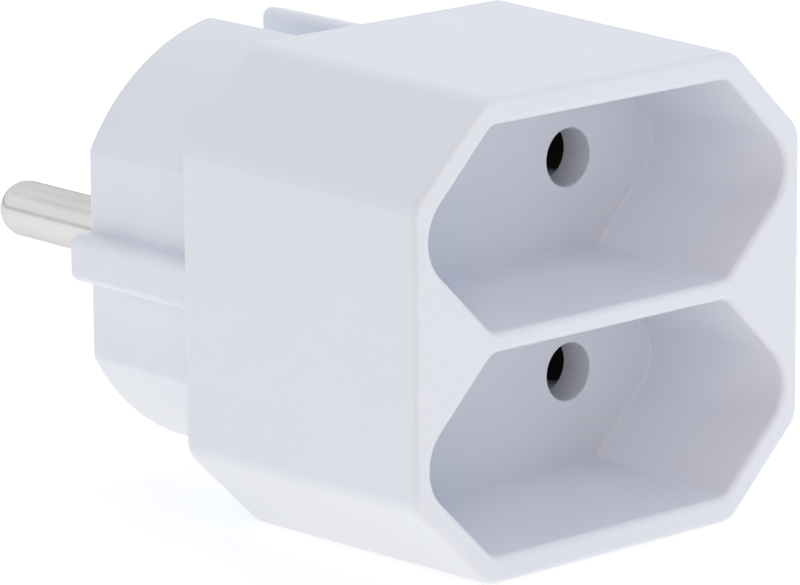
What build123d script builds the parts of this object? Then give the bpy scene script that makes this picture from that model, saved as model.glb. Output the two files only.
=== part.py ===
from build123d import *
import os
from math import hypot, radians, sqrt, tan

# Two-way plug adapter: a box with two flat-plug sockets in front and a round-contour plug behind.
# Millimetres. The origin is the centre of the plug's face. X is to the right as the sockets are
# seen, Y runs from the sockets towards the tips of the plug's pins, and Z is up.

# Plug pins
pin_diameter = 4.8
pin_reach = 19.0
pin_pitch = 19.0
pin_shank_diameter = 5.4
pin_clearance = 0.05
pin_collar_diameter = 7.4
pin_collar_thickness = 1.5
pin_tenon_diameter = 3.0
pin_head_diameter = 4.4
pin_head_height = 0.7
pin_head_chamfer = 0.4

# Plug body
plug_diameter = 37.0
plug_length = 17.55
plug_wall = 1.6
plug_face_wall = 3.0
plug_corner_radius = 1.2
plug_edge_chamfer = 0.25
rib_stand = 2.2
rib_height = 3.9
rib_corner_radius = 0.8
rib_root_radius = 0.2
notch_width = 5.2
notch_depth = 3.1
notch_mouth_radius = 0.8
notch_floor_radius = 0.5
pin_boss_diameter = 8.8
pin_boss_height = 1.5
divider_thickness = 1.6

# Box: every wall of its octagon leans a little, so that it leaves its mould
box_depth = 27.75
rim_top = 2.18
rim_side = 1.6
corner_width = 7.5
corner_height = 7.3
side_draft = 0.17
top_draft = 1.18
box_wall = 2.0
front_wall = 2.2
corner_radius = 1.6
front_edge_radius = 0.5
rear_edge_chamfer = 0.5

# Sockets: two hexagonal wells with 45 degree ends, one above the other
socket_height = 16.4
socket_flat = 25.6
socket_tip_radius = 4.0
socket_corner_radius = 1.6
socket_web = 1.6
socket_depth = 15.0
socket_draft = 1.7
socket_wall = 1.5
socket_floor = 3.15
socket_edge_chamfer = 0.25
pin_hole_diameter = 4.84
pin_hole_edge = 0.15

# Flange of the plug body, let into the back of the box
rear_rim = 1.3
flange_thickness = 2.0
flange_clearance = 0.1

# Busbars and contacts, all bent or punched from strip
busbar_width = 5.0
busbar_thickness = 0.8
contact_thickness = 0.5
contact_width = 3.8
contact_root_gap = 4.6
contact_pinch_gap = 3.5
contact_mouth_gap = 5.2
contact_lead_in = 2.6
contact_pinch_length = 2.0
contact_bend_radius = 0.9
contact_end_gap = 0.3
rivet_diameter = 2.0
rivet_head_height = 0.6
rivet_clearance = 0.05

# Guides and posts behind the sockets
guide_clearance = 0.3
guide_wall = 1.0
guide_height = 3.0
post_diameter = 4.4
post_gap = 0.3

# Closing screw, from the middle of the plug's face into the box
screw_diameter = 2.6
screw_length = 13.0
screw_head_diameter = 5.2
screw_head_height = 1.9
screw_head_chamfer = 0.7
screw_well_diameter = 5.8
screw_well_depth = 9.0
screw_seat_thickness = 2.5
screw_clearance = 0.3
screw_pilot_clearance = 0.05
screw_boss_diameter = 6.4
screw_post_wall = 1.3
screw_slot_width = 0.8
screw_slot_length = 3.1
screw_point_diameter = 0.5
screw_slot_depth = 1.0
boss_gap = 0.2
boss_fin_thickness = 1.4
boss_fin_height = 7.0

# Heights and depths that follow from the sizes above
plug_across_flats = plug_diameter - 2 * rib_stand
socket_pitch = socket_height + socket_web
socket_ends = 2 * socket_tip_radius * (sqrt(2) - 1)
socket_span = socket_flat + socket_height - socket_ends
box_width = socket_span + 2 * rim_side
box_height = 2 * socket_height + socket_web + 2 * rim_top
box_rear_y = -plug_length
box_front_y = box_rear_y - box_depth
ledge_y = box_rear_y - flange_thickness
floor_y = box_front_y + socket_depth
floor_back_y = floor_y + socket_floor
cup_floor_y = -plug_face_wall
collar_y = cup_floor_y - pin_boss_height
busbar_y = collar_y - pin_collar_thickness
contact_y = busbar_y - busbar_thickness
rivet_head_diameter = contact_root_gap + contact_thickness - 2 * (contact_bend_radius + rivet_clearance)
screw_seat_y = -screw_well_depth
screw_post_y = screw_seat_y - screw_seat_thickness
SIDES = {"left": -pin_pitch / 2, "right": pin_pitch / 2}
ROWS = {"upper": socket_pitch / 2, "lower": -socket_pitch / 2}
PINS = [(x, z) for x in SIDES.values() for z in ROWS.values()]


def section(outline, y):
    """Stand an outline drawn in x and z at the depth y."""
    return Plane.XZ.offset(-y) * outline


def prism(outline, y_from, y_to):
    """Carry an outline straight from one depth to another further back."""
    return extrude(section(outline, y_from), amount=y_from - y_to)


def tapered(front_outline, y_from, rear_outline, y_to):
    """Join an outline at one depth to its like at another, as a point or a broken edge does."""
    return loft([section(front_outline, y_from), section(rear_outline, y_to)])


def drafted(outline, y_from, y_to):
    """A prism whose sides lean in by the wells' mould draft as it goes back."""
    body = prism(outline, y_from, y_to)
    sides = body.faces().filter_by(lambda f: abs(f.normal_at().Y) < 0.5)
    return draft(sides, Plane.XZ.offset(-y_from), -socket_draft)


def turned(profile, x=0.0, z=0.0):
    """Turn a half profile, drawn in radius and depth, about an axis along Y."""
    return Pos(x, 0, z) * revolve(profile, Axis.Y)


def edges_at(shape, y):
    """The edges that lie wholly at the depth y."""
    return shape.edges().filter_by_position(Axis.Y, y - 0.01, y + 0.01)


def box_corners(y, inset=0.0):
    """The eight corners of the box's octagon at a depth, drawn in by an even wall."""
    back = y - box_front_y
    half_w = box_width / 2 + back * tan(radians(side_draft))
    half_h = box_height / 2 + back * tan(radians(top_draft))
    # how far a corner slides along its wall for each millimetre of inset
    slide = corner_width + corner_height - hypot(corner_width, corner_height)
    flat_w = half_w - corner_width - inset * (1 - slide / corner_height)
    flat_h = half_h - corner_height - inset * (1 - slide / corner_width)
    wide, high = half_w - inset, half_h - inset
    right = [(wide, -flat_h), (wide, flat_h), (flat_w, high)]
    left = [(-flat_w, high), (-wide, flat_h), (-wide, -flat_h)]
    return [*right, *left, (-flat_w, -high), (flat_w, -high)]


def box_solid(y_from, y_to, inset=0.0):
    """The drafted octagon between two depths, closed by ten flat faces."""
    front = [(x, y_from, z) for x, z in box_corners(y_from, inset)]
    rear = [(x, y_to, z) for x, z in box_corners(y_to, inset)]
    walls = [
        Face(Wire.make_polygon([front[i - 1], front[i], rear[i], rear[i - 1]])) for i in range(len(front))
    ]
    ends = [Face(Wire.make_polygon(front)), Face(Wire.make_polygon(rear))]
    return Solid(Shell([*ends, *walls]))


def socket_outline(inset=0.0):
    """A well's hexagon with rounded ends, drawn in by the draft or out by the wall."""
    half = socket_height / 2
    flat = socket_flat / 2
    tip = flat + half
    points = [(tip, 0), (flat, half), (-flat, half), (-tip, 0), (-flat, -half), (flat, -half)]
    hexagon = make_face(Polyline(*points, close=True))
    tips = hexagon.vertices().filter_by(lambda v: abs(v.Y) < 0.01)
    rounded = fillet(tips, socket_tip_radius)
    corners = rounded.vertices().filter_by(lambda v: abs(v.Y) > half - 0.01)
    rounded = fillet(corners, socket_corner_radius)
    return offset(rounded, -inset) if inset else rounded


def socket_well(z):
    """One well, which narrows towards its floor."""
    return Pos(0, 0, z) * drafted(socket_outline(), box_front_y, floor_y)


def socket_block(z):
    """The moulded wall round one well, as a solid block down to the back of its floor."""
    return Pos(0, 0, z) * drafted(socket_outline(-socket_wall), box_front_y, floor_back_y)


def pin_hole(x, z):
    """A contact's hole through the floor of a well, with its mouth just broken."""
    radius = pin_hole_diameter / 2
    hole = prism(Circle(radius), floor_y, floor_back_y)
    mouth = Circle(radius + pin_hole_edge)
    mouth = tapered(mouth, floor_y, Circle(radius), floor_y + pin_hole_edge)
    return Pos(x, 0, z) * (hole + mouth)


def contact_guide(x, z):
    """The frame that keeps a contact's mouth behind its hole."""
    inner_w = contact_mouth_gap + 2 * contact_thickness + 2 * guide_clearance
    inner_h = contact_width + 2 * guide_clearance
    frame = Rectangle(inner_w + 2 * guide_wall, inner_h + 2 * guide_wall)
    frame -= Rectangle(inner_w, inner_h)
    return Pos(x, 0, z) * prism(frame, floor_back_y, floor_back_y + guide_height)


def hold_down_post(x):
    """A post that bears on the riveted end of a plug pin, so that the pin can't push in."""
    end_y = contact_y - pin_head_height - post_gap
    return Pos(x, 0, 0) * prism(Circle(post_diameter / 2), floor_back_y, end_y)


def screw_boss():
    """The boss that the closing screw bites into, with two fins between left and right."""
    end_y = screw_post_y - boss_gap
    boss = prism(Circle(screw_boss_diameter / 2), floor_back_y, end_y)
    fin = Rectangle(boss_fin_thickness, socket_pitch + contact_width)
    boss += prism(fin, floor_back_y, floor_back_y + boss_fin_height)
    pilot = Circle(screw_diameter / 2 + screw_pilot_clearance)
    tip_y = screw_seat_y - screw_length - screw_clearance
    return boss - prism(pilot, tip_y, end_y)


def flange_outline(clearance):
    """The octagon let into the back of the box, less the flange's clearance."""
    return make_face(Polyline(*box_corners(box_rear_y, rear_rim + clearance), close=True))


def front_housing():
    """The box: an octagonal shell with its two wells, moulded in one."""
    body = box_solid(box_front_y, box_rear_y)
    lengthwise = body.edges().filter_by(lambda e: abs(e.tangent_at(0.5).Y) > 0.5)
    body = fillet(lengthwise, corner_radius)
    body = fillet(edges_at(body, box_front_y), front_edge_radius)
    body = chamfer(edges_at(body, box_rear_y), rear_edge_chamfer)
    cavity = box_solid(box_front_y + front_wall, box_rear_y, box_wall)
    for z in ROWS.values():
        cavity -= socket_block(z)
    body -= cavity
    body -= prism(flange_outline(0.0), ledge_y, box_rear_y)
    for z in ROWS.values():
        body -= socket_well(z)
    front_face = body.faces().sort_by(Axis.Y)[0]
    mouths = [edge for wire in front_face.inner_wires() for edge in wire.edges()]
    body = chamfer(mouths, socket_edge_chamfer)
    for x, z in PINS:
        body -= pin_hole(x, z)
        body += contact_guide(x, z)
    for x in SIDES.values():
        body += hold_down_post(x)
    return body + screw_boss()


def plug_core(inset=0.0):
    """The plug's round contour, flat on both sides and slotted above and below for earth clips."""
    outline = Circle(plug_diameter / 2 - inset)
    outline &= Rectangle(plug_across_flats - 2 * inset, plug_diameter)
    reach = plug_diameter / 2
    floor_z = reach - notch_depth - inset
    for z_side in (1, -1):
        slot = Rectangle(notch_width + 2 * inset, reach)
        outline -= Pos(0, z_side * (floor_z + reach / 2)) * slot
    return outline


def plug_outline():
    """The whole contour with the guide rib on each flat and every corner softened."""
    outline = plug_core()
    outline += Rectangle(plug_diameter, rib_height)
    radii = [
        (notch_width / 2, lambda z: z > plug_diameter / 2 - notch_depth / 2, notch_mouth_radius),
        (notch_width / 2, lambda z: z < plug_diameter / 2 - notch_depth / 2, notch_floor_radius),
        (plug_diameter / 2, lambda z: True, rib_corner_radius),
        (plug_across_flats / 2, lambda z: z > rib_height, plug_corner_radius),
        (plug_across_flats / 2, lambda z: z < rib_height, rib_root_radius),
    ]
    for x, at_height, radius in radii:
        corners = outline.vertices().filter_by(lambda v: abs(abs(v.X) - x) < 0.01 and at_height(abs(v.Y)))
        outline = fillet(corners, radius)
    return outline


def plug_body():
    """The outside of the plug, with its edge broken all the way round its face."""
    body = prism(plug_outline(), box_rear_y, 0)
    return chamfer(edges_at(body, 0), plug_edge_chamfer)


def plug_housing():
    """The plug: a cup with a flange that closes the back of the box."""
    body = plug_body()
    body += prism(flange_outline(flange_clearance), ledge_y, box_rear_y)
    hollow = plug_core(plug_wall)
    for x, z in PINS:
        room_w = contact_root_gap + 2 * contact_thickness + 2 * guide_clearance
        room_h = contact_width + 2 * guide_clearance
        hollow += Pos(x, z) * Rectangle(room_w, room_h)
    body -= prism(hollow, ledge_y, cup_floor_y)
    for x in SIDES.values():
        body += prism(Pos(x, 0) * Circle(pin_boss_diameter / 2), collar_y, cup_floor_y)
        body -= prism(Pos(x, 0) * Circle(pin_shank_diameter / 2 + pin_clearance), collar_y, 0)
    post = Circle(screw_well_diameter / 2 + screw_post_wall)
    divider = Rectangle(divider_thickness, plug_diameter - 2 * notch_depth - plug_wall)
    body += prism(post + divider, screw_post_y, cup_floor_y)
    body -= prism(Circle(screw_well_diameter / 2), screw_seat_y, 0)
    return body - prism(Circle(screw_diameter / 2 + screw_clearance), screw_post_y, screw_seat_y)


def plug_pin(x):
    """A turned pin: round tip, thicker shank and collar, and a tenon riveted over the busbar."""
    radius = pin_diameter / 2
    shank = pin_shank_diameter / 2
    collar = pin_collar_diameter / 2
    tenon = pin_tenon_diameter / 2
    head = pin_head_diameter / 2
    head_y = contact_y - pin_head_height
    tip_y = pin_reach - radius
    free_end = [(0, head_y), (0, tip_y), (radius, tip_y), (radius, 0), (shank, 0)]
    held_end = [(shank, collar_y), (collar, collar_y), (collar, busbar_y), (tenon, busbar_y)]
    riveted_end = [(tenon, contact_y), (head, contact_y), (head, head_y)]
    half = make_face(Polyline(*free_end, *held_end, *riveted_end, close=True))
    tip = Pos(0, tip_y) * Circle(radius)
    tip &= Pos(radius / 2, tip_y + radius / 2) * Rectangle(radius, radius)
    pin = turned(half + tip, x)
    return chamfer(edges_at(pin, head_y), pin_head_chamfer)


def busbar(x):
    """A strip that joins one pin to its upper and lower contacts."""
    strip = Rot(0, 0, 90) * SlotCenterToCenter(socket_pitch, busbar_width)
    strip -= Circle(pin_tenon_diameter / 2 + rivet_clearance)
    for z in ROWS.values():
        strip -= Pos(0, z) * Circle(rivet_diameter / 2 + rivet_clearance)
    return Pos(x, 0, 0) * prism(strip, contact_y, busbar_y)


def contact(x, z):
    """A strip folded to a U, whose legs pinch a socket pin and open again at the mouth."""
    half = contact_thickness / 2
    root = contact_root_gap / 2 + half
    pinch = contact_pinch_gap / 2 + half
    mouth = contact_mouth_gap / 2 + half
    mouth_y = floor_back_y + contact_end_gap
    pinch_y = mouth_y + contact_lead_in
    leg = [(pinch, pinch_y + contact_pinch_length), (pinch, pinch_y), (mouth, mouth_y)]
    path = [(0, contact_y - half), (root, contact_y - half), *leg]
    right = trace(FilletPolyline(*path, radius=contact_bend_radius), line_width=contact_thickness)
    strip = extrude(right, amount=contact_width / 2, both=True)
    strip += mirror(strip, Plane.YZ)
    strip -= prism(Circle(rivet_diameter / 2 + rivet_clearance), contact_y - 2 * half, contact_y)
    return Pos(x, 0, z) * strip


def contact_rivets():
    """Four flat-headed rivets, one through the busbar behind each contact."""
    head = rivet_head_diameter / 2
    shank = rivet_diameter / 2
    front_y = contact_y - contact_thickness
    rivets = []
    for x, z in PINS:
        rivet = prism(Circle(shank), front_y, busbar_y)
        rivet += prism(Circle(head), front_y - rivet_head_height, front_y)
        rivet += prism(Circle(head), busbar_y, busbar_y + rivet_head_height)
        rivets.append(Pos(x, 0, z) * rivet)
    return Compound(children=rivets)


def closing_screw():
    """A pan-head screw with a cross recess, seated at the bottom of its well."""
    shank = screw_diameter / 2
    head_top = screw_seat_y + screw_head_height
    tip_y = screw_seat_y - screw_length
    shaft = prism(Circle(shank), tip_y + shank, screw_seat_y)
    shaft += tapered(Circle(screw_point_diameter / 2), tip_y, Circle(shank), tip_y + shank)
    head = prism(Circle(screw_head_diameter / 2), screw_seat_y, head_top)
    head = chamfer(edges_at(head, head_top), screw_head_chamfer)
    slot = Rectangle(screw_slot_length, screw_slot_width)
    cross = slot + Rot(0, 0, 90) * slot
    return shaft + head - prism(cross, head_top - screw_slot_depth, head_top)


def sub_parts():
    """Each separate piece of the adapter under its own name."""
    yield "front_housing", front_housing()
    yield "plug_housing", plug_housing()
    for side, x in SIDES.items():
        yield f"plug_pin_{side}", plug_pin(x)
        yield f"busbar_{side}", busbar(x)
        for row, z in ROWS.items():
            yield f"contact_{row}_{side}", contact(x, z)
    yield "contact_rivets", contact_rivets()
    yield "closing_screw", closing_screw()


os.makedirs("parts", exist_ok=True)
for name, shape in sub_parts():
    export_step(shape, f"parts/{name}.step")
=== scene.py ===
from math import atan2, degrees, pi, radians, tan

import bmesh
import bpy
import numpy as np
from mathutils import Matrix, Vector
from mathutils.geometry import tessellate_polygon


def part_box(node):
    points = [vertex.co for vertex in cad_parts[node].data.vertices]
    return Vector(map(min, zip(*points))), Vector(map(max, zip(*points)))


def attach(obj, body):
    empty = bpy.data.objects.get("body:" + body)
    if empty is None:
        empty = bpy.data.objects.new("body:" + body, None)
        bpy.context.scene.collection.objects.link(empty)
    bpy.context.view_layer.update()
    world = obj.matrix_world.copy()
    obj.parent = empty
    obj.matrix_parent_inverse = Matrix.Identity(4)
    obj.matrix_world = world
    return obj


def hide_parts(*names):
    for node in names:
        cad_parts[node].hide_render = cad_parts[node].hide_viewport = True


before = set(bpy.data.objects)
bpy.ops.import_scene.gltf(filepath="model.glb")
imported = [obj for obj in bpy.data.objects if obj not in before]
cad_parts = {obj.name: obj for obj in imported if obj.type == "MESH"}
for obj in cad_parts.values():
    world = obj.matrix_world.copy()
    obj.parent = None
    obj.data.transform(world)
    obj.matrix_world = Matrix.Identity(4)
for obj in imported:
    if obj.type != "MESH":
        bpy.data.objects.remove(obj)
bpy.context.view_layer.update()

# The front housing: one white polycarbonate moulding, an octagonal box whose two hexagonal wells
# each take a flat two-pin plug. Its walls lean a little, so that it leaves the mould, and all its
# outer edges are softly rounded. Lengths are millimetres until a piece becomes a mesh.
millimetre = 0.001
low, high = (np.array(corner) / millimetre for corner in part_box("front_housing"))
front_y, rear_y = low[1], -17.55
rear_half_width, rear_half_height = high[0], high[2]
side_lean, top_lean = tan(radians(0.17)), tan(radians(1.18))
corner_width, corner_height = 7.5, 7.3
corner_radius, front_edge_radius, rear_edge_radius = 2.4, 0.5, 0.8
edge_strip = 0.1  # a narrow strip beside each round keeps the face past it flat
box_wall, front_wall, rear_rim = 2.0, 2.2, 1.3
ledge_y = rear_y - 2.0
socket_flat, socket_half, socket_row = 12.8, 8.2, 9.0
socket_radii = [4.0, 1.6, 1.6, 4.0, 1.6, 1.6]
mouth_radius, socket_floor_radius, socket_lean = 0.5, 0.15, tan(radians(1.7))
floor_y = front_y + 15.0
floor_back_y = floor_y + 3.15
pin_column, pin_hole_radius, pin_hole_edge = 9.5, 2.42, 0.2
contact_y = -6.8


def arc(x, z, radius, start, stop, steps):
    """An arc of an outline: its outward direction turns evenly from start to stop, in degrees, and
    each point is the centre plus the radius times that direction. A hollow corner's is negative."""
    turn = np.radians(np.linspace(start, stop, steps))
    out = np.stack([np.cos(turn), np.sin(turn)], axis=1)
    return np.array([x, z]) + radius * out, out


def circle(radius, steps=48):
    """A full circle as an outline, without its last point again."""
    points, out = arc(0, 0, radius, 0, 360, steps + 1)
    return points[:-1], out[:-1]


def rounded(corners, radii, steps=9, inset=0.0):
    """A polygon with round corners. Two sides that are both moved in by d meet at the corner less
    d times the sum of their normals over one plus their product. That gives the inset corner, and
    then the centre of its arc, which turns from one side's normal to the next side's."""
    corners = np.asarray(corners, float)
    along = np.roll(corners, -1, axis=0) - corners
    along /= np.linalg.norm(along, axis=1, keepdims=True)
    after = np.stack([along[:, 1], -along[:, 0]], axis=1)
    before = np.roll(after, 1, axis=0)
    across = before[:, 0] * after[:, 1] - before[:, 1] * after[:, 0]
    level = np.sum(before * after, axis=1)
    inward = -(before + after) / (1 + level)[:, None]
    radius = (np.sign(across) * np.broadcast_to(radii, len(corners)))[:, None]
    centre = corners + (inset + radius) * inward
    turn = np.arctan2(before[:, 1], before[:, 0])[:, None]
    turn = turn + np.arctan2(across, level)[:, None] * np.linspace(0, 1, steps)
    out = np.stack([np.cos(turn), np.sin(turn)], axis=2)
    points = centre[:, None] + radius[:, None] * out
    return points.reshape(-1, 2), out.reshape(-1, 2)


def ring(outline, y, spread=0.0, x=0.0, z=0.0):
    """An outline stood up at the depth y: each point moves out by spread along its own normal."""
    flat = outline[0] + spread * outline[1]
    return np.stack([flat[:, 0] + x, np.full(len(flat), y), flat[:, 1] + z], axis=1)


def rings(outline, depths, spreads, x=0.0, z=0.0):
    """The same outline at many depths, one ring each, as the skin of a moulded wall."""
    return [ring(outline, y, spread, x, z) for y, spread in zip(depths, spreads)]


def skin(loops):
    """Four-sided faces between each closed loop of points and the next one: every face takes a point
    and the point beside it from one loop, and the same two from the next."""
    points = np.stack(loops)
    rows, columns = points.shape[:2]
    here = np.arange(rows * columns).reshape(rows, columns)
    beside = np.roll(here, -1, axis=1)
    faces = np.stack([here[:-1], beside[:-1], beside[1:], here[1:]], axis=2)
    return points.reshape(-1, 3), faces.reshape(-1, 4)


def plate(outer, *holes):
    """Triangles that fill a flat loop of points, less the loops of its holes."""
    loops = [outer, *holes]
    faces = tessellate_polygon([[Vector(point[[0, 2]]).to_3d() for point in loop] for loop in loops])
    return np.concatenate(loops), np.array(faces)


def moulding(name, patches, body="root", seam_gap=2e-6, shortest_edge=1e-7, sharp_angle=32):
    """One closed mesh from all its patches, sewn together where they meet, with faces outwards.
    The two lengths are in metres, and edges that turn by more than sharp_angle degrees stay sharp."""
    counts = np.cumsum([0] + [len(points) for points, _ in patches])
    faces = [face for start, (_, quads) in zip(counts, patches) for face in (quads + start).tolist()]
    mesh = bpy.data.meshes.new(name)
    mesh.from_pydata(millimetre * np.concatenate([points for points, _ in patches]), [], faces)
    sewn = bmesh.new()
    sewn.from_mesh(mesh)
    bmesh.ops.remove_doubles(sewn, verts=sewn.verts, dist=seam_gap)
    bmesh.ops.dissolve_degenerate(sewn, edges=sewn.edges, dist=shortest_edge)
    bmesh.ops.recalc_face_normals(sewn, faces=sewn.faces)
    sewn.to_mesh(mesh)
    sewn.free()
    mesh.shade_smooth()
    mesh.set_sharp_from_angle(angle=radians(sharp_angle))
    piece = bpy.data.objects.new(name, mesh)
    bpy.context.scene.collection.objects.link(piece)
    flats = piece.modifiers.new("flats stay flat", "WEIGHTED_NORMAL")
    flats.weight, flats.keep_sharp = 100, True
    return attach(piece, body)


def octagon(y, inset=0.0, radius=corner_radius):
    """The box's outline at a depth: its half sizes shrink towards the front by the mould's lean."""
    wide = rear_half_width - (rear_y - y) * side_lean
    tall = rear_half_height - (rear_y - y) * top_lean
    cut_x, cut_z = wide - corner_width, tall - corner_height
    right = [(cut_x, -tall), (wide, -cut_z), (wide, cut_z), (cut_x, tall)]
    left = [(-cut_x, tall), (-wide, cut_z), (-wide, -cut_z), (-cut_x, -tall)]
    return rounded(right + left, radius, inset=inset)


def edge_round(radius, steps=9):
    """A quarter round between two faces, as how far it lies in from each of them: both are the
    radius times one less the cosine or the sine of an angle that runs from 0 to 90 degrees."""
    turn = np.linspace(0, pi / 2, steps)
    return radius * (1 - np.cos(turn)), radius * (1 - np.sin(turn))


rear_in, rear_back = edge_round(rear_edge_radius)
front_in, front_back = edge_round(front_edge_radius)
outside = [(rear_y - back, inset) for inset, back in zip(rear_in[::-1], rear_back[::-1])]
outside += [(rear_y - rear_edge_radius - edge_strip, 0.0), (front_y + front_edge_radius + edge_strip, 0.0)]
outside += [(front_y + back, inset) for inset, back in zip(front_in, front_back)]
outside += [(front_y, front_edge_radius + edge_strip)]
box_skin = [ring(octagon(y), y, -inset) for y, inset in outside]

tip = socket_flat + socket_half
hexagon = [(tip, 0), (socket_flat, socket_half), (-socket_flat, socket_half)]
hexagon = rounded(hexagon + [(-x, -z) for x, z in hexagon], socket_radii, 13)
mouth_in, mouth_back = edge_round(mouth_radius)
root_in, root_back = edge_round(socket_floor_radius)
well_y = np.r_[front_y, front_y + mouth_in]
well_y = np.r_[well_y, floor_y - socket_floor_radius - edge_strip, floor_y - root_back, floor_y]
well_spread = np.r_[mouth_radius + edge_strip, mouth_back, 0, -root_in, -socket_floor_radius - edge_strip]
well_spread = well_spread - (well_y - front_y) * socket_lean
wells = [rings(hexagon, well_y, well_spread, z=row) for row in (socket_row, -socket_row)]

hole_in, hole_back = edge_round(pin_hole_edge, 5)
hole_y = np.r_[floor_y + hole_in, floor_back_y]
hole_spread = np.r_[hole_back, 0]
pin_holes = [
    [rings(circle(pin_hole_radius), hole_y, hole_spread, x, row) for x in (-pin_column, pin_column)]
    for row in (socket_row, -socket_row)
]
box = [skin(box_skin), plate(box_skin[-1], *[well[0] for well in wells])]
for well, holes in zip(wells, pin_holes):
    box += [skin(well), plate(well[-1], *[hole[0] for hole in holes]), *[skin(hole) for hole in holes]]

# Inside the box: the ledge that the flange drops onto, a hollow between the wells on either side,
# the guides that keep the contacts behind their holes, two posts that hold the plug pins down and
# the boss that the closing screw bites into. The wells' own walls fill the rest.
inner_corner_radius, pocket_corner_radius, guide_corner_radius = 0.4, 0.3, 0.2
ledge = [ring(octagon(rear_y, rear_rim, inner_corner_radius), y) for y in (rear_y, ledge_y)]
cavity = [ring(octagon(y, box_wall, inner_corner_radius), y) for y in (ledge_y, floor_back_y)]
box += [skin([box_skin[0], *ledge]), skin([ledge[1], *cavity])]
standing = []
socket_wall, pocket_inset, waist = 1.5, 0.3, tip - socket_row
for side in (-1, 1):
    pocket = []
    for y in (floor_back_y, front_y + front_wall):
        point = waist + 2**0.5 * (socket_wall - (y - front_y) * socket_lean)
        outer = rear_half_width - (rear_y - y) * side_lean - box_wall - pocket_inset
        corners = side * np.array([(point, 0), (outer, point - outer), (outer, outer - point)])
        pocket.append(ring(rounded(corners, pocket_corner_radius, 5), y))
    box += [skin(pocket), plate(pocket[1])]
    standing.append(pocket[0])

guide_half_width, guide_half_height, guide_wall, guide_height = 3.4, 2.2, 1.0, 3.0
window = [(guide_half_width, -guide_half_height), (guide_half_width, guide_half_height)]
window = rounded(window + [(-x, -z) for x, z in window], guide_corner_radius, 3)
guide_y = np.array([floor_back_y, floor_back_y + guide_height, floor_back_y + guide_height, floor_back_y])
guide_spread = np.array([guide_wall, guide_wall, 0, 0])
for row, holes in zip((socket_row, -socket_row), pin_holes):
    for x, hole in zip((-pin_column, pin_column), holes):
        guide = rings(window, guide_y, guide_spread, x, row)
        box += [skin(guide), plate(guide[-1], hole[-1])]
        standing.append(guide[0])

post_radius, post_gap = 2.2, 1.0
post_end_y = contact_y - post_gap
for x in (-pin_column, pin_column):
    post = rings(circle(post_radius), [floor_back_y, post_end_y], [0, 0], x)
    box += [skin(post), plate(post[-1])]
    standing.append(post[0])

boss_radius, boss_end_y, pilot_radius, pilot_end_y = 3.2, -11.7, 1.35, -22.3
fin_half, fin_reach, fin_end_y = 0.7, 10.9, floor_back_y + 7.0
slant = degrees(np.arcsin(fin_half / boss_radius))
flank = arc(0, 0, boss_radius, slant - 90, 90 - slant, 21)[0]
crown = arc(0, 0, boss_radius, 90 - slant, 90 + slant, 5)[0]
fin = np.array([(fin_half, fin_reach), (-fin_half, fin_reach)])
finned = np.concatenate([flank, fin, -flank, -fin])
plain = np.concatenate([flank, crown[1:-1], -flank, -crown[1:-1]])
finned_rings = [ring((finned, finned), y) for y in (floor_back_y, fin_end_y)]
plain_rings = [ring((plain, plain), y) for y in (fin_end_y, boss_end_y)]
pilot = rings(circle(pilot_radius), [boss_end_y, pilot_end_y], [0, 0])
fin_outline = np.concatenate([fin, crown[::-1]])
fin_top = ring((fin_outline, fin_outline), fin_end_y)
box += [skin(finned_rings), plate(fin_top), plate(fin_top * [-1, 1, -1]), skin(plain_rings)]
box += [plate(plain_rings[-1], pilot[0]), skin(pilot), plate(pilot[-1])]
standing.append(finned_rings[0])
box.append(plate(cavity[-1], *standing))
front_housing = moulding("front_housing_moulding", box)
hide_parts("front_housing")


class Shading:
    """The nodes of a material or of the world. Each value that varies is a Field."""

    def __init__(self, block):
        block.use_nodes = True
        self.tree = block.node_tree
        self.tree.nodes.clear()

    def add(self, kind, settings, inputs, output=0):
        """Any node: its settings come first, then the values or the links of its sockets."""
        node = self.tree.nodes.new(kind)
        for key, value in settings.items():
            setattr(node, key, value)
        for key, value in inputs.items():
            self.feed(node.inputs[key], value)
        return None if output is None else Field(self, node.outputs[output])

    def feed(self, socket, value):
        """A socket takes a link from a Field, or else a plain value."""
        if isinstance(value, Field):
            self.tree.links.new(value.socket, socket)
        else:
            socket.default_value = value

    def blend(self, share, first, second):
        """One colour turning into another as share goes from 0 to 1."""
        colours = {"Factor": share, "A": (*first, 1), "B": (*second, 1)}
        node = self.tree.nodes.new("ShaderNodeMix")
        node.data_type = "RGBA"
        for socket in node.inputs:
            if socket.enabled and socket.name in colours:
                self.feed(socket, colours[socket.name])
        return Field(self, next(socket for socket in node.outputs if socket.enabled))

    def shown(self):
        """1 where the camera, gloss or glass looks at it, and 0 where it only lights things."""
        seen = self.add("ShaderNodeLightPath", {}, {}, "Is Camera Ray")
        for kind in ("Is Glossy Ray", "Is Transmission Ray"):
            seen = seen.at_least(self.add("ShaderNodeLightPath", {}, {}, kind))
        return seen


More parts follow.
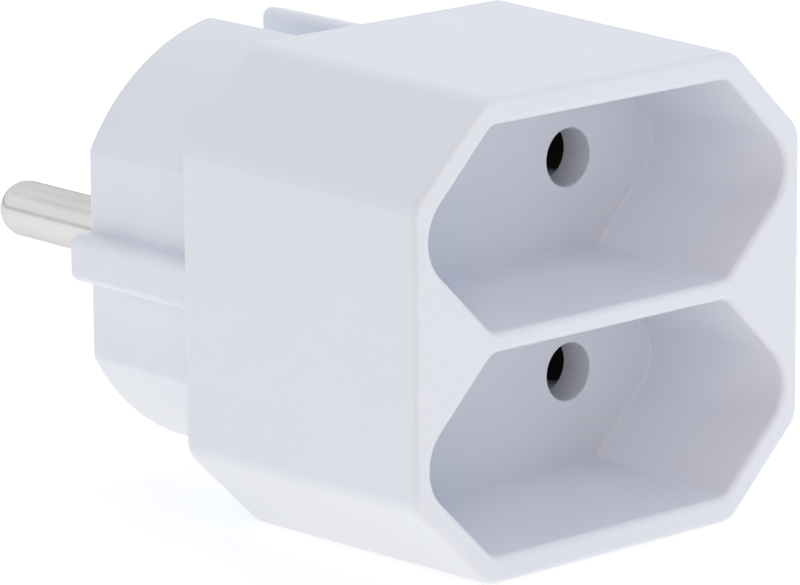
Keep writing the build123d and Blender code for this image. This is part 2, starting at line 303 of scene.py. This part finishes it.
class Finish(Shading):
    """A material round one Principled shader."""

    def __init__(self, name, **constants):
        self.material = bpy.data.materials.new(name)
        super().__init__(self.material)
        inputs = {key.replace("_", " "): value for key, value in constants.items()}
        shader = self.add("ShaderNodeBsdfPrincipled", {}, inputs)
        self.shader = shader.socket.node
        self.add("ShaderNodeOutputMaterial", {}, {"Surface": shader}, output=None)

    def place(self):
        """Where a point is on the piece, in metres."""
        return self.add("ShaderNodeTexCoord", {}, {}, "Object")

    def noise(self, grain, detail=3.0, stretch=(1, 1, 1)):
        """Noise from 0 to 1 whose blobs are about grain metres across, pulled long by stretch."""
        where = self.add("ShaderNodeMapping", {}, {"Vector": self.place(), "Scale": stretch})
        return self.add("ShaderNodeTexNoise", {}, {"Vector": where, "Scale": 1 / grain, "Detail": detail})

    def relief(self, height, depth, strength=1.0):
        """A bump from a height of 0 to 1 that stands for depth metres."""
        inputs = {"Height": height, "Distance": depth, "Strength": strength}
        self.feed(self.shader.inputs["Normal"], self.add("ShaderNodeBump", {}, inputs))

    def set(self, **fields):
        """Links fields to the shader's own sockets."""
        for key, value in fields.items():
            self.feed(self.shader.inputs[key.replace("_", " ")], value)


class Field:
    """One output socket. Sums, differences and products with it add Math nodes beside it."""

    def __init__(self, shading, socket):
        self.shading, self.socket = shading, socket

    def math(self, operation, *values):
        inputs = dict(enumerate(values))
        return self.shading.add("ShaderNodeMath", {"operation": operation}, inputs)

    def at_least(self, other):
        return self.math("MAXIMUM", self, other)

    def __add__(self, other):
        return self.math("ADD", self, other)

    def __sub__(self, other):
        return self.math("SUBTRACT", self, other)

    def __rsub__(self, other):
        return self.math("SUBTRACT", other, self)

    def __mul__(self, other):
        return self.math("MULTIPLY", self, other)

    def __abs__(self):
        return self.math("ABSOLUTE", self)

    __radd__, __rmul__ = __add__, __mul__


white = Finish("cool white polycarbonate", IOR=1.52)
flow = white.noise(0.012, 2.0)
speck = white.noise(0.0006, 2.0)
grain = white.noise(0.00022, 3.0)
white.set(Base_Color=white.blend(flow * 0.7 + speck * 0.3, (0.80, 0.828, 0.905), (0.83, 0.853, 0.925)))
white.set(Roughness=0.36 + 0.12 * speck - 0.06 * flow)
white.relief(grain * 0.6 + speck * 0.4, 0.000012, 0.5)
front_housing.data.materials.append(white.material)

# The plug housing: a cup in the same white plastic, with the round contour of an earthed plug that
# goes into a recessed wall socket. Its flange lies in the back of the box, flush with the rim.
plug_radius, plug_flat, rib_half_height = 18.5, 16.3, 1.95
notch_half_width, notch_floor = 2.6, 15.4
flat_corner_radius, notch_mouth_radius, notch_root_radius = 1.2, 0.8, 0.5
rib_edge_radius, rib_root_radius = 0.8, 0.2
hollow_corner_radius, hollow_root_radius, flange_gap = 0.4, 0.3, 0.1
plug_wall, face_edge_radius = 1.6, 0.6
cup_floor_y, collar_y, shank_hole_radius, pin_boss_radius = -3.0, -4.5, 2.75, 4.4
screw_well_radius, screw_seat_y, post_top_y, screw_post_radius = 2.9, -9.0, -11.5, 4.2
screw_hole_radius, divider_half = 1.6, 0.8


def contour(inset, corner, mouth, floor, rib=None, root=None):
    """A quarter of the plug's outline, from its side to the middle of its slot: a small arc where
    the flat meets the round, the round itself, and an arc into the slot and one at its floor. Each
    small arc's centre lies its own radius inside both lines it joins, so Pythagoras gives its height."""
    reach, flat, notch = plug_radius - inset, plug_flat - inset, notch_half_width + inset
    flat_z = np.sqrt((reach - corner) ** 2 - (flat - corner) ** 2)
    mouth_z = np.sqrt((reach - mouth) ** 2 - (notch + mouth) ** 2)
    flat_turn = degrees(atan2(flat_z, flat - corner))
    mouth_turn = degrees(atan2(mouth_z, notch + mouth))
    arcs = []
    if rib:
        arcs.append(arc(plug_radius - rib, rib_half_height - rib, rib, 0, 90, 9))
        arcs.append(arc(flat + root, rib_half_height + root, -root, 90, 0, 7))
    arcs.append(arc(flat - corner, flat_z, corner, 0, flat_turn, 7))
    arcs.append(arc(0, 0, reach, flat_turn, mouth_turn, 31))
    arcs.append(arc(notch + mouth, mouth_z, mouth, mouth_turn, 180, 9))
    arcs.append(arc(notch - floor, notch_floor - inset + floor, -floor, 180, 90, 7))
    return [np.concatenate(part) for part in zip(*arcs)]


def mirrored(quarter):
    """The upper half of an outline: its quarter, then the same again turned over, backwards."""
    flip = np.array([-1.0, 1.0])
    return [np.concatenate([part, part[::-1] * flip]) for part in quarter]


notch_radii = (notch_mouth_radius, notch_root_radius)
upper = mirrored(contour(0.0, flat_corner_radius, *notch_radii, rib_edge_radius, rib_root_radius))
plug_outline = [np.concatenate([part, -part]) for part in upper]
face_in, face_back = edge_round(face_edge_radius)
plug_y = np.r_[rear_y, -face_edge_radius - edge_strip, -face_back]
plug_skin = rings(plug_outline, plug_y, np.r_[0, 0, -face_in])
bores = [rings(circle(shank_hole_radius), [0, collar_y], [0, 0], x) for x in (-pin_column, pin_column)]
screw_well = rings(circle(screw_well_radius), [0, screw_seat_y], [0, 0])
screw_hole = rings(circle(screw_hole_radius), [screw_seat_y, post_top_y], [0, 0])
plug = [skin(plug_skin), plate(plug_skin[-1], bores[0][0], bores[1][0], screw_well[0])]
plug += [skin([*screw_well, *screw_hole])]
flange = octagon(rear_y, rear_rim + flange_gap, inner_corner_radius)
flange = [ring(flange, y) for y in (rear_y, ledge_y)]
plug += [skin(flange), plate(flange[0], plug_skin[0])]

# Inside the plug: the cup, split left from right by a divider, with a seat for each pin's collar
# and the post that the closing screw goes through.
quarter = contour(plug_wall, hollow_corner_radius, hollow_corner_radius, hollow_root_radius)[0]
quarter = np.concatenate([quarter, [[divider_half, notch_floor - plug_wall]]])
right = np.concatenate([quarter[::-1] * [1, -1], quarter])
hollow = np.concatenate([right, -right])
post_slant = degrees(np.arcsin(divider_half / screw_post_radius))
bulge = arc(0, 0, screw_post_radius, 90 - post_slant, post_slant - 90, 21)[0]
half = np.concatenate([right, bulge])
saddle = np.concatenate([right[-1:], bulge, right[:1]])
saddle = np.concatenate([saddle, -saddle])
hollow_rings = [ring((hollow, hollow), y) for y in (ledge_y, post_top_y)]
plug += [plate(flange[1], hollow_rings[0]), skin(hollow_rings)]
plug += [plate(ring((saddle, saddle), post_top_y), screw_hole[1])]
for side, bore in zip((-1, 1), bores):
    cup = [ring((side * half, half), y) for y in (post_top_y, cup_floor_y)]
    seat = rings(circle(pin_boss_radius), [cup_floor_y, collar_y], [0, 0], side * pin_column)
    plug += [skin(cup), plate(cup[-1], seat[0]), skin([*seat, *bore[::-1]])]
plug_housing = moulding("plug_housing_moulding", plug)
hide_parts("plug_housing")
plug_housing.data.materials.append(white.material)

# The plug pins: brass rod turned on a lathe and nickel plated, with a round tip. The shank and the
# collar sit in the plug's face, and the thin end is riveted over the busbar.
pin_radius, pin_tip_y = 2.4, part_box("plug_pin_left")[1][1] / millimetre
shank_radius, collar_radius, tenon_radius, rivet_radius = 2.7, 3.7, 1.5, 2.2
collar_end_y, busbar_top_y, rivet_end_y = -6.0, -6.8, -7.5
pole = 1e-4


def chain(points, breaks, steps=5):
    """A turned profile of radius and depth. Each inner corner, in order, becomes a curve: the corner
    plus its break times (1 - s) squared towards the point before and s squared towards the next."""
    points = np.asarray(points, float)
    before, corner, after = points[:-2], points[1:-1], points[2:]
    towards = (before - corner) / np.linalg.norm(before - corner, axis=1, keepdims=True)
    onwards = (after - corner) / np.linalg.norm(after - corner, axis=1, keepdims=True)
    size = np.broadcast_to(breaks, len(corner))[:, None, None]
    share = np.linspace(0, 1, steps)[None, :, None]
    bend = (1 - share) ** 2 * towards[:, None] + share**2 * onwards[:, None]
    middle = (corner[:, None] + size * bend).reshape(-1, 2)
    return np.concatenate([points[:1], middle, points[-1:]])


def lathe(profile, segments=96, x=0.0):
    """A profile turned about an axis along Y: each point's radius is a circle's, at its depth."""
    return [ring(circle(radius, segments), y, 0.0, x) for radius, y in profile]


turned_end = [(pole, rivet_end_y), (rivet_radius, rivet_end_y), (rivet_radius, busbar_top_y)]
turned_end += [(tenon_radius, busbar_top_y), (tenon_radius, collar_end_y), (collar_radius, collar_end_y)]
turned_end += [(collar_radius, collar_y), (shank_radius, collar_y), (shank_radius, 0.0)]
turned_end += [(pin_radius, 0.0), (pin_radius, 1.0)]
turned_end = chain(turned_end, [0.4, 0.1, 0.03, 0.03, 0.15, 0.15, 0.05, 0.06, 0.05])
dome = np.linspace(0, pi / 2, 25)[:-1]
dome = np.stack([pin_radius * np.cos(dome), pin_tip_y - pin_radius + pin_radius * np.sin(dome)], axis=1)
straight_end = [[pin_radius, pin_tip_y - pin_radius - edge_strip]]
rod = np.concatenate([turned_end, straight_end, dome, [[pole, pin_tip_y]]])
nickel = Finish("nickel plated brass", Metallic=1.0, Specular_Tint=(0.75, 0.74, 0.73, 1.0))
tool_marks = nickel.noise(0.00018, 2.0, (0.02, 1, 0.02))
wear = nickel.noise(0.0016, 3.0, (1, 0.25, 1))
nickel.set(Base_Color=nickel.blend(wear, (0.665, 0.65, 0.635), (0.77, 0.76, 0.75)))
nickel.set(Roughness=0.12 + 0.12 * wear + 0.1 * tool_marks)
nickel.relief(tool_marks, 0.000006, 0.6)
for side, x in (("left", -pin_column), ("right", pin_column)):
    turned = lathe(rod, x=x)
    pin = moulding(f"plug_pin_{side}_turned", [skin(turned)])
    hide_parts(f"plug_pin_{side}")
    pin.data.materials.append(nickel.material)

# The closing screw: a zinc plated pan-head screw for plastic, with a cross recess, at the bottom
# of the well in the plug's face. It pulls the two housings together.
head_radius, head_height, recess_arm, recess_half, recess_depth = 2.6, 1.9, 1.55, 0.4, 1.1
crown_drop, crown_slope, recess_edge, recess_start, recess_least = 0.9, 0.1, 0.12, 1.3, 0.15
thread_radius, core_radius, neck_radius, thread_pitch, screw_length = 1.3, 0.95, 1.25, 1.1, 13.0
crest_sharpness, point_length, point_power = 2.2, 1.3, 0.7

# The head: its height falls off with the fourth power and the square of the distance out. The recess
# is one of two crossed bars, cut with a smooth step at its edge and shallower towards its arms' ends.
turns = np.linspace(0, 2 * pi, 97)[:-1]
reach, turn = np.meshgrid(np.linspace(pole, head_radius, 40), turns, indexing="ij")
u, v = reach * np.cos(turn), reach * np.sin(turn)
pan = head_height - crown_drop * (reach / head_radius) ** 4 - crown_slope * (reach / head_radius) ** 2
level_bar = np.maximum(abs(u) / recess_arm, abs(v) / recess_half)
upright_bar = np.maximum(abs(v) / recess_arm, abs(u) / recess_half)
cut = np.clip((1 + recess_edge - np.minimum(level_bar, upright_bar)) / (2 * recess_edge), 0, 1)
step, taper = cut * cut * (3 - 2 * cut), np.clip(recess_start - reach / recess_arm, recess_least, 1)
pan = pan - recess_depth * step * taper
head = [np.stack([a, screw_seat_y + h, b], axis=1) for a, h, b in zip(u, pan, v)]

# The thread: a ridge that climbs one pitch a turn, from the core's radius to the thread's, with a
# flat root and a crest. Both shrink to nothing along the screw's point.
along, turn = np.meshgrid(np.linspace(0, screw_length, 261), turns[::2], indexing="ij")
ridge = 1 - 2 * abs((along / thread_pitch - turn / (2 * pi)) % 1 - 0.5)
crest = np.clip(crest_sharpness * (ridge - 1) + 1, 0, 1)
point = np.clip((screw_length - along) / point_length, 0, 1) ** point_power
radius = (core_radius + (thread_radius - core_radius) * crest) * point + pole
shaft = np.stack([radius * np.cos(turn), screw_seat_y - along, radius * np.sin(turn)], axis=2)
rim = [ring(circle(r, 96), screw_seat_y) for r in (head_radius, neck_radius)]
screw = moulding("closing_screw_turned", [skin([*head, *rim]), plate(rim[-1], shaft[0]), skin(list(shaft))])
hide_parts("closing_screw")
zinc = Finish("zinc plated steel", Metallic=1.0)
bloom = zinc.noise(0.0009, 4.0)
zinc.set(Base_Color=zinc.blend(bloom, (0.50, 0.51, 0.54), (0.68, 0.69, 0.70)))
zinc.set(Roughness=0.28 + 0.2 * bloom)
zinc.relief(zinc.noise(0.0002), 0.000008, 0.5)
screw.data.materials.append(zinc.material)

# The live parts stay as the frame has them: brass busbars punched from strip, contacts folded from
# springy bronze strip, and the brass rivets that hold each contact to its busbar.
brass = Finish("rolled brass", Metallic=1.0)
rolled = brass.noise(0.0004, 3.0, (1, 1, 0.06))
tarnish = brass.noise(0.003, 3.0)
brass.set(Base_Color=brass.blend(tarnish, (0.62, 0.44, 0.17), (0.80, 0.62, 0.32)))
brass.set(Roughness=0.24 + 0.2 * tarnish + 0.08 * rolled)
brass.relief(rolled, 0.000006, 0.5)
# The contacts' bronze is painted almost black. This is painted shade: it stands for the dark inside of the
# box that shows through the pin holes, and its two dark tones differ at random.
bronze_painted_shade = Finish("spring bronze in painted shade", Metallic=1.0)
drawn = bronze_painted_shade.noise(0.0003, 3.0, (1, 0.05, 1))
mottle = bronze_painted_shade.noise(0.0025, 3.0)
bronze_painted_shade.set(Base_Color=bronze_painted_shade.blend(mottle, (0.035, 0.03, 0.027), (0.09, 0.07, 0.055)))
bronze_painted_shade.set(Roughness=0.34 + 0.2 * mottle + 0.08 * drawn)
bronze_painted_shade.relief(drawn, 0.000005, 0.5)
headed = Finish("headed brass", Metallic=1.0)
struck = headed.noise(0.0005, 4.0)
headed.set(Base_Color=headed.blend(struck, (0.66, 0.49, 0.21), (0.82, 0.66, 0.36)))
headed.set(Roughness=0.22 + 0.25 * struck)
headed.relief(struck, 0.00001, 0.5)
for name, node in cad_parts.items():
    for start, finish in (("busbar", brass), ("contact_", bronze_painted_shade), ("contact_rivets", headed)):
        if name.startswith(start):
            node.data.materials.clear()
            node.data.materials.append(finish.material)

# The floor: a pale sheet of card that the adapter stands on, white where nothing shades it. The light
# that it sends back up to the adapter is a little warm. Lengths are metres from here on.
half_floor = 0.6
warm_glow, white_card = (0.40, 0.372, 0.325), (0.41, 0.41, 0.41)
floor_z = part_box("front_housing")[0][2]
card = bpy.data.meshes.new("pale_floor")
sides = half_floor * np.array([(-1, -1), (1, -1), (1, 1), (-1, 1)])
card.from_pydata([(x, y, floor_z) for x, y in sides], [], [(0, 1, 2, 3)])
floor = bpy.data.objects.new("pale_floor", card)
bpy.context.scene.collection.objects.link(floor)
paper = Finish("pale card", Roughness=0.9, Specular_IOR_Level=0.1, Emission_Strength=1.0)
fibre = paper.noise(0.004, 4.0)
paper.set(Base_Color=paper.blend(fibre, (0.86, 0.865, 0.875), (0.88, 0.885, 0.895)))
paper.set(Emission_Color=paper.blend(paper.shown(), warm_glow, white_card))
card.materials.append(paper.material)

# The light: soft lamps that shine through a white tent, a little warm from the left and a little cool
# from the right. The tent itself is what shows behind the adapter and in its gloss, with a dark seam
# along the table and a fainter one higher up, each given by its height, half width and darkness.
tent_seams = [(0.03, 0.07, 1.0), (0.59, 0.07, 0.6)]
white_cloth, seam_grey, fill_strength = (1, 1, 1), (0.25, 0.25, 0.25), 0.1
world = bpy.data.worlds.new("white tent")
bpy.context.scene.world = world
tent = Shading(world)
glossy = tent.add("ShaderNodeLightPath", {}, {}, "Is Glossy Ray")
direction = tent.add("ShaderNodeTexCoord", {}, {}, "Generated")
rise = tent.add("ShaderNodeSeparateXYZ", {}, {"Vector": direction}, "Z")
seams = [dark - abs(rise - height) * (1 / half_width) for height, half_width, dark in tent_seams]
seam = glossy * seams[0].at_least(seams[1]).at_least(0.0)
cloth = tent.add("ShaderNodeBackground", {}, {"Color": tent.blend(seam, white_cloth, seam_grey)})
fill = tent.add("ShaderNodeBackground", {}, {"Color": (1, 1, 1, 1), "Strength": fill_strength})
both = tent.add("ShaderNodeMixShader", {}, {0: tent.shown(), 1: fill, 2: cloth})
tent.add("ShaderNodeOutputWorld", {}, {"Surface": both}, output=None)


def lamp(name, place, size, power, colour, aim=(0.0, -0.02, 0.0)):
    """A square soft lamp at place, in metres, that faces aim."""
    light = bpy.data.lights.new(name, "AREA")
    light.size, light.energy, light.color = size, power, colour
    holder = bpy.data.objects.new(name, light)
    bpy.context.scene.collection.objects.link(holder)
    facing = (Vector(aim) - Vector(place)).to_track_quat("-Z", "Y")
    holder.matrix_world = Matrix.Translation(place) @ facing.to_matrix().to_4x4()
    holder.visible_glossy = False


lamp("overhead softbox", (0.15, 0.1, 0.9), 0.9, 4.3, (1.0, 0.99, 0.985))
lamp("high front softbox", (0.35, -0.65, 0.75), 0.5, 1.8, (0.95, 0.87, 0.91))
lamp("front left softbox", (-0.75, -0.75, 0.45), 0.7, 3.3, (1.0, 0.88, 0.84))
lamp("front right softbox", (0.78, -0.7, 0.3), 0.75, 0.8, (0.5, 0.82, 1.0))
lamp("near right softbox", (0.26, -0.3, 0.1), 0.2, 0.13, (0.65, 0.86, 1.0))
lamp("far right softbox", (1.0, -0.2, 0.25), 0.5, 1.2, (0.8, 0.94, 1.0))
lamp("rear left softbox", (-0.7, 0.75, 0.35), 0.7, 3.0, (0.72, 0.91, 1.0))
lamp("rear right softbox", (0.55, 0.85, 0.45), 0.7, 1.2, (1.0, 1.0, 1.0))

# The camera: a long lens from the front left, a little above the adapter.
camera_place = (-0.300894, -0.355430, 0.107706)
yaw, pitch, roll = 0.73197, 0.23835, 0.00751
view = bpy.data.cameras.new("view")
view.lens, view.sensor_width = 254.76, 36.0
view.shift_x, view.shift_y = -0.0032, -0.0110
camera = bpy.data.objects.new("view", view)
bpy.context.scene.collection.objects.link(camera)
heading = Matrix.Rotation(-yaw, 4, "Z") @ Matrix.Rotation(pi / 2 - pitch, 4, "X")
camera.matrix_world = Matrix.Translation(camera_place) @ heading @ Matrix.Rotation(-roll, 4, "Z")
bpy.context.scene.camera = camera
bpy.context.scene.view_settings.view_transform = "Standard"
